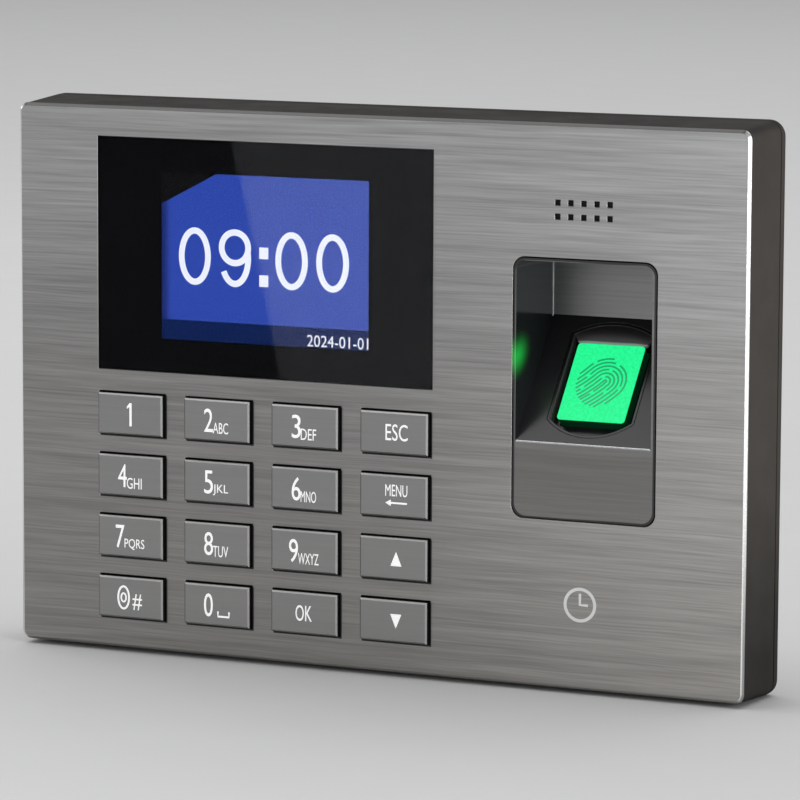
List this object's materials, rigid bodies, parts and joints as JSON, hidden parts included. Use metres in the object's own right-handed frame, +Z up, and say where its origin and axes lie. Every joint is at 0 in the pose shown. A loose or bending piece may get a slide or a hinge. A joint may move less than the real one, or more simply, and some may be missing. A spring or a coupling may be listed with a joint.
{
  "type": "punch time clock",
  "caption": "Wall-hung fingerprint time clock: brushed front plate, colour display, keypad and a slanted finger well in a slim case on a steel bracket.",
  "frame": {"origin": "centre of the four wall holes, on the wall face of the bracket", "axes": "+X to the right as seen from the front, +Y into the wall, +Z up; the front plate faces -Y"},
  "size_m": [0.2004, 0.0345, 0.1404],
  "materials": {
    "zinc_steel": "zinc-plated sheet and screws, satin",
    "case_plastic": "fine-textured dark warm grey moulding",
    "brushed_plate": "horizontally brushed plate with a bright cut edge",
    "black_glass": "back-printed black cover glass",
    "black_foam": "closed-cell foam tape",
    "screen": "lit blue screen",
    "white_plastic": "white engineering plastic",
    "flex_film": "amber polyimide film",
    "silicone": "grey silicone rubber",
    "green_board": "green solder-masked board",
    "chip_black": "black epoxy packages",
    "capacitor_blue": "sleeved cans",
    "black_plastic": "black moulding",
    "brass_pin": "plated contact pin",
    "speaker_cloth": "black woven dust cloth and paper",
    "red_wire": "insulated wire",
    "well_metal": "metallic-painted moulding with a fine horizontal grain",
    "gloss_black": "glossy black moulding",
    "green_glass": "sensor glass lit green from inside",
    "green_light": "green lamps",
    "white_wire": "insulated wires",
    "key_metal": "metallic-painted key caps",
    "label_film": "blank silver label film"
  },
  "bodies": {
    "bracket": {"wall_bracket": "zinc_steel"},
    "clock": {"rear_cover": "case_plastic", "front_housing": "case_plastic", "faceplate": "brushed_plate", "display_window": "black_glass", "window_tape": "black_foam", "lcd_panel": "screen", "lcd_backlight": "white_plastic", "lcd_frame": "zinc_steel", "lcd_flex": "flex_film", "keypad_mat": "silicone", "main_board": "green_board", "processor_chip": "chip_black", "memory_chips": "chip_black", "power_capacitors": "capacitor_blue", "coin_cell_holder": "black_plastic", "coin_cell": "zinc_steel", "wire_sockets": "white_plastic", "flex_socket": "white_plastic", "usb_port": "zinc_steel", "usb_tongue": "white_plastic", "dc_jack": "black_plastic", "dc_jack_pin": "brass_pin", "grille_cloth": "speaker_cloth", "speaker_gasket": "black_foam", "speaker_frame": "black_plastic", "speaker_cone": "speaker_cloth", "speaker_magnet": "zinc_steel", "speaker_wires": "red_wire", "finger_well": "well_metal", "well_clips": "zinc_steel", "sensor_bezel": "gloss_black", "sensor_glass": "green_glass", "sensor_housing": "black_plastic", "sensor_board": "green_board", "sensor_lights": "green_light", "sensor_clamp": "zinc_steel", "sensor_screws": "zinc_steel", "sensor_cable": "white_wire", "board_screws": "zinc_steel", "case_screws": "zinc_steel", "rating_plate": "label_film"},
    "key_1_cap": {"key_1": "key_metal"},
    "key_2_cap": {"key_2": "key_metal"},
    "key_3_cap": {"key_3": "key_metal"},
    "key_esc_cap": {"key_esc": "key_metal"},
    "key_4_cap": {"key_4": "key_metal"},
    "key_5_cap": {"key_5": "key_metal"},
    "key_6_cap": {"key_6": "key_metal"},
    "key_menu_cap": {"key_menu": "key_metal"},
    "key_7_cap": {"key_7": "key_metal"},
    "key_8_cap": {"key_8": "key_metal"},
    "key_9_cap": {"key_9": "key_metal"},
    "key_up_cap": {"key_up": "key_metal"},
    "key_hash_cap": {"key_hash": "key_metal"},
    "key_0_cap": {"key_0": "key_metal"},
    "key_ok_cap": {"key_ok": "key_metal"},
    "key_down_cap": {"key_down": "key_metal"}
  },
  "joints": [
    {"name": "lift_off", "type": "slide", "parent": "bracket", "child": "clock", "axis": [0, 0, 1], "range_m": [0, 0.008]},
    {"name": "key_1_press", "type": "slide", "parent": "clock", "child": "key_1_cap", "axis": [0, 1, 0], "range_m": [0, 0.001], "stiffness_N_per_m": 600, "deforming": ["keypad_mat"]},
    {"name": "key_2_press", "type": "slide", "parent": "clock", "child": "key_2_cap", "axis": [0, 1, 0], "range_m": [0, 0.001], "stiffness_N_per_m": 600, "deforming": ["keypad_mat"]},
    {"name": "key_3_press", "type": "slide", "parent": "clock", "child": "key_3_cap", "axis": [0, 1, 0], "range_m": [0, 0.001], "stiffness_N_per_m": 600, "deforming": ["keypad_mat"]},
    {"name": "key_esc_press", "type": "slide", "parent": "clock", "child": "key_esc_cap", "axis": [0, 1, 0], "range_m": [0, 0.001], "stiffness_N_per_m": 600, "deforming": ["keypad_mat"]},
    {"name": "key_4_press", "type": "slide", "parent": "clock", "child": "key_4_cap", "axis": [0, 1, 0], "range_m": [0, 0.001], "stiffness_N_per_m": 600, "deforming": ["keypad_mat"]},
    {"name": "key_5_press", "type": "slide", "parent": "clock", "child": "key_5_cap", "axis": [0, 1, 0], "range_m": [0, 0.001], "stiffness_N_per_m": 600, "deforming": ["keypad_mat"]},
    {"name": "key_6_press", "type": "slide", "parent": "clock", "child": "key_6_cap", "axis": [0, 1, 0], "range_m": [0, 0.001], "stiffness_N_per_m": 600, "deforming": ["keypad_mat"]},
    {"name": "key_menu_press", "type": "slide", "parent": "clock", "child": "key_menu_cap", "axis": [0, 1, 0], "range_m": [0, 0.001], "stiffness_N_per_m": 600, "deforming": ["keypad_mat"]},
    {"name": "key_7_press", "type": "slide", "parent": "clock", "child": "key_7_cap", "axis": [0, 1, 0], "range_m": [0, 0.001], "stiffness_N_per_m": 600, "deforming": ["keypad_mat"]},
    {"name": "key_8_press", "type": "slide", "parent": "clock", "child": "key_8_cap", "axis": [0, 1, 0], "range_m": [0, 0.001], "stiffness_N_per_m": 600, "deforming": ["keypad_mat"]},
    {"name": "key_9_press", "type": "slide", "parent": "clock", "child": "key_9_cap", "axis": [0, 1, 0], "range_m": [0, 0.001], "stiffness_N_per_m": 600, "deforming": ["keypad_mat"]},
    {"name": "key_up_press", "type": "slide", "parent": "clock", "child": "key_up_cap", "axis": [0, 1, 0], "range_m": [0, 0.001], "stiffness_N_per_m": 600, "deforming": ["keypad_mat"]},
    {"name": "key_hash_press", "type": "slide", "parent": "clock", "child": "key_hash_cap", "axis": [0, 1, 0], "range_m": [0, 0.001], "stiffness_N_per_m": 600, "deforming": ["keypad_mat"]},
    {"name": "key_0_press", "type": "slide", "parent": "clock", "child": "key_0_cap", "axis": [0, 1, 0], "range_m": [0, 0.001], "stiffness_N_per_m": 600, "deforming": ["keypad_mat"]},
    {"name": "key_ok_press", "type": "slide", "parent": "clock", "child": "key_ok_cap", "axis": [0, 1, 0], "range_m": [0, 0.001], "stiffness_N_per_m": 600, "deforming": ["keypad_mat"]},
    {"name": "key_down_press", "type": "slide", "parent": "clock", "child": "key_down_cap", "axis": [0, 1, 0], "range_m": [0, 0.001], "stiffness_N_per_m": 600, "deforming": ["keypad_mat"]}
  ]
}
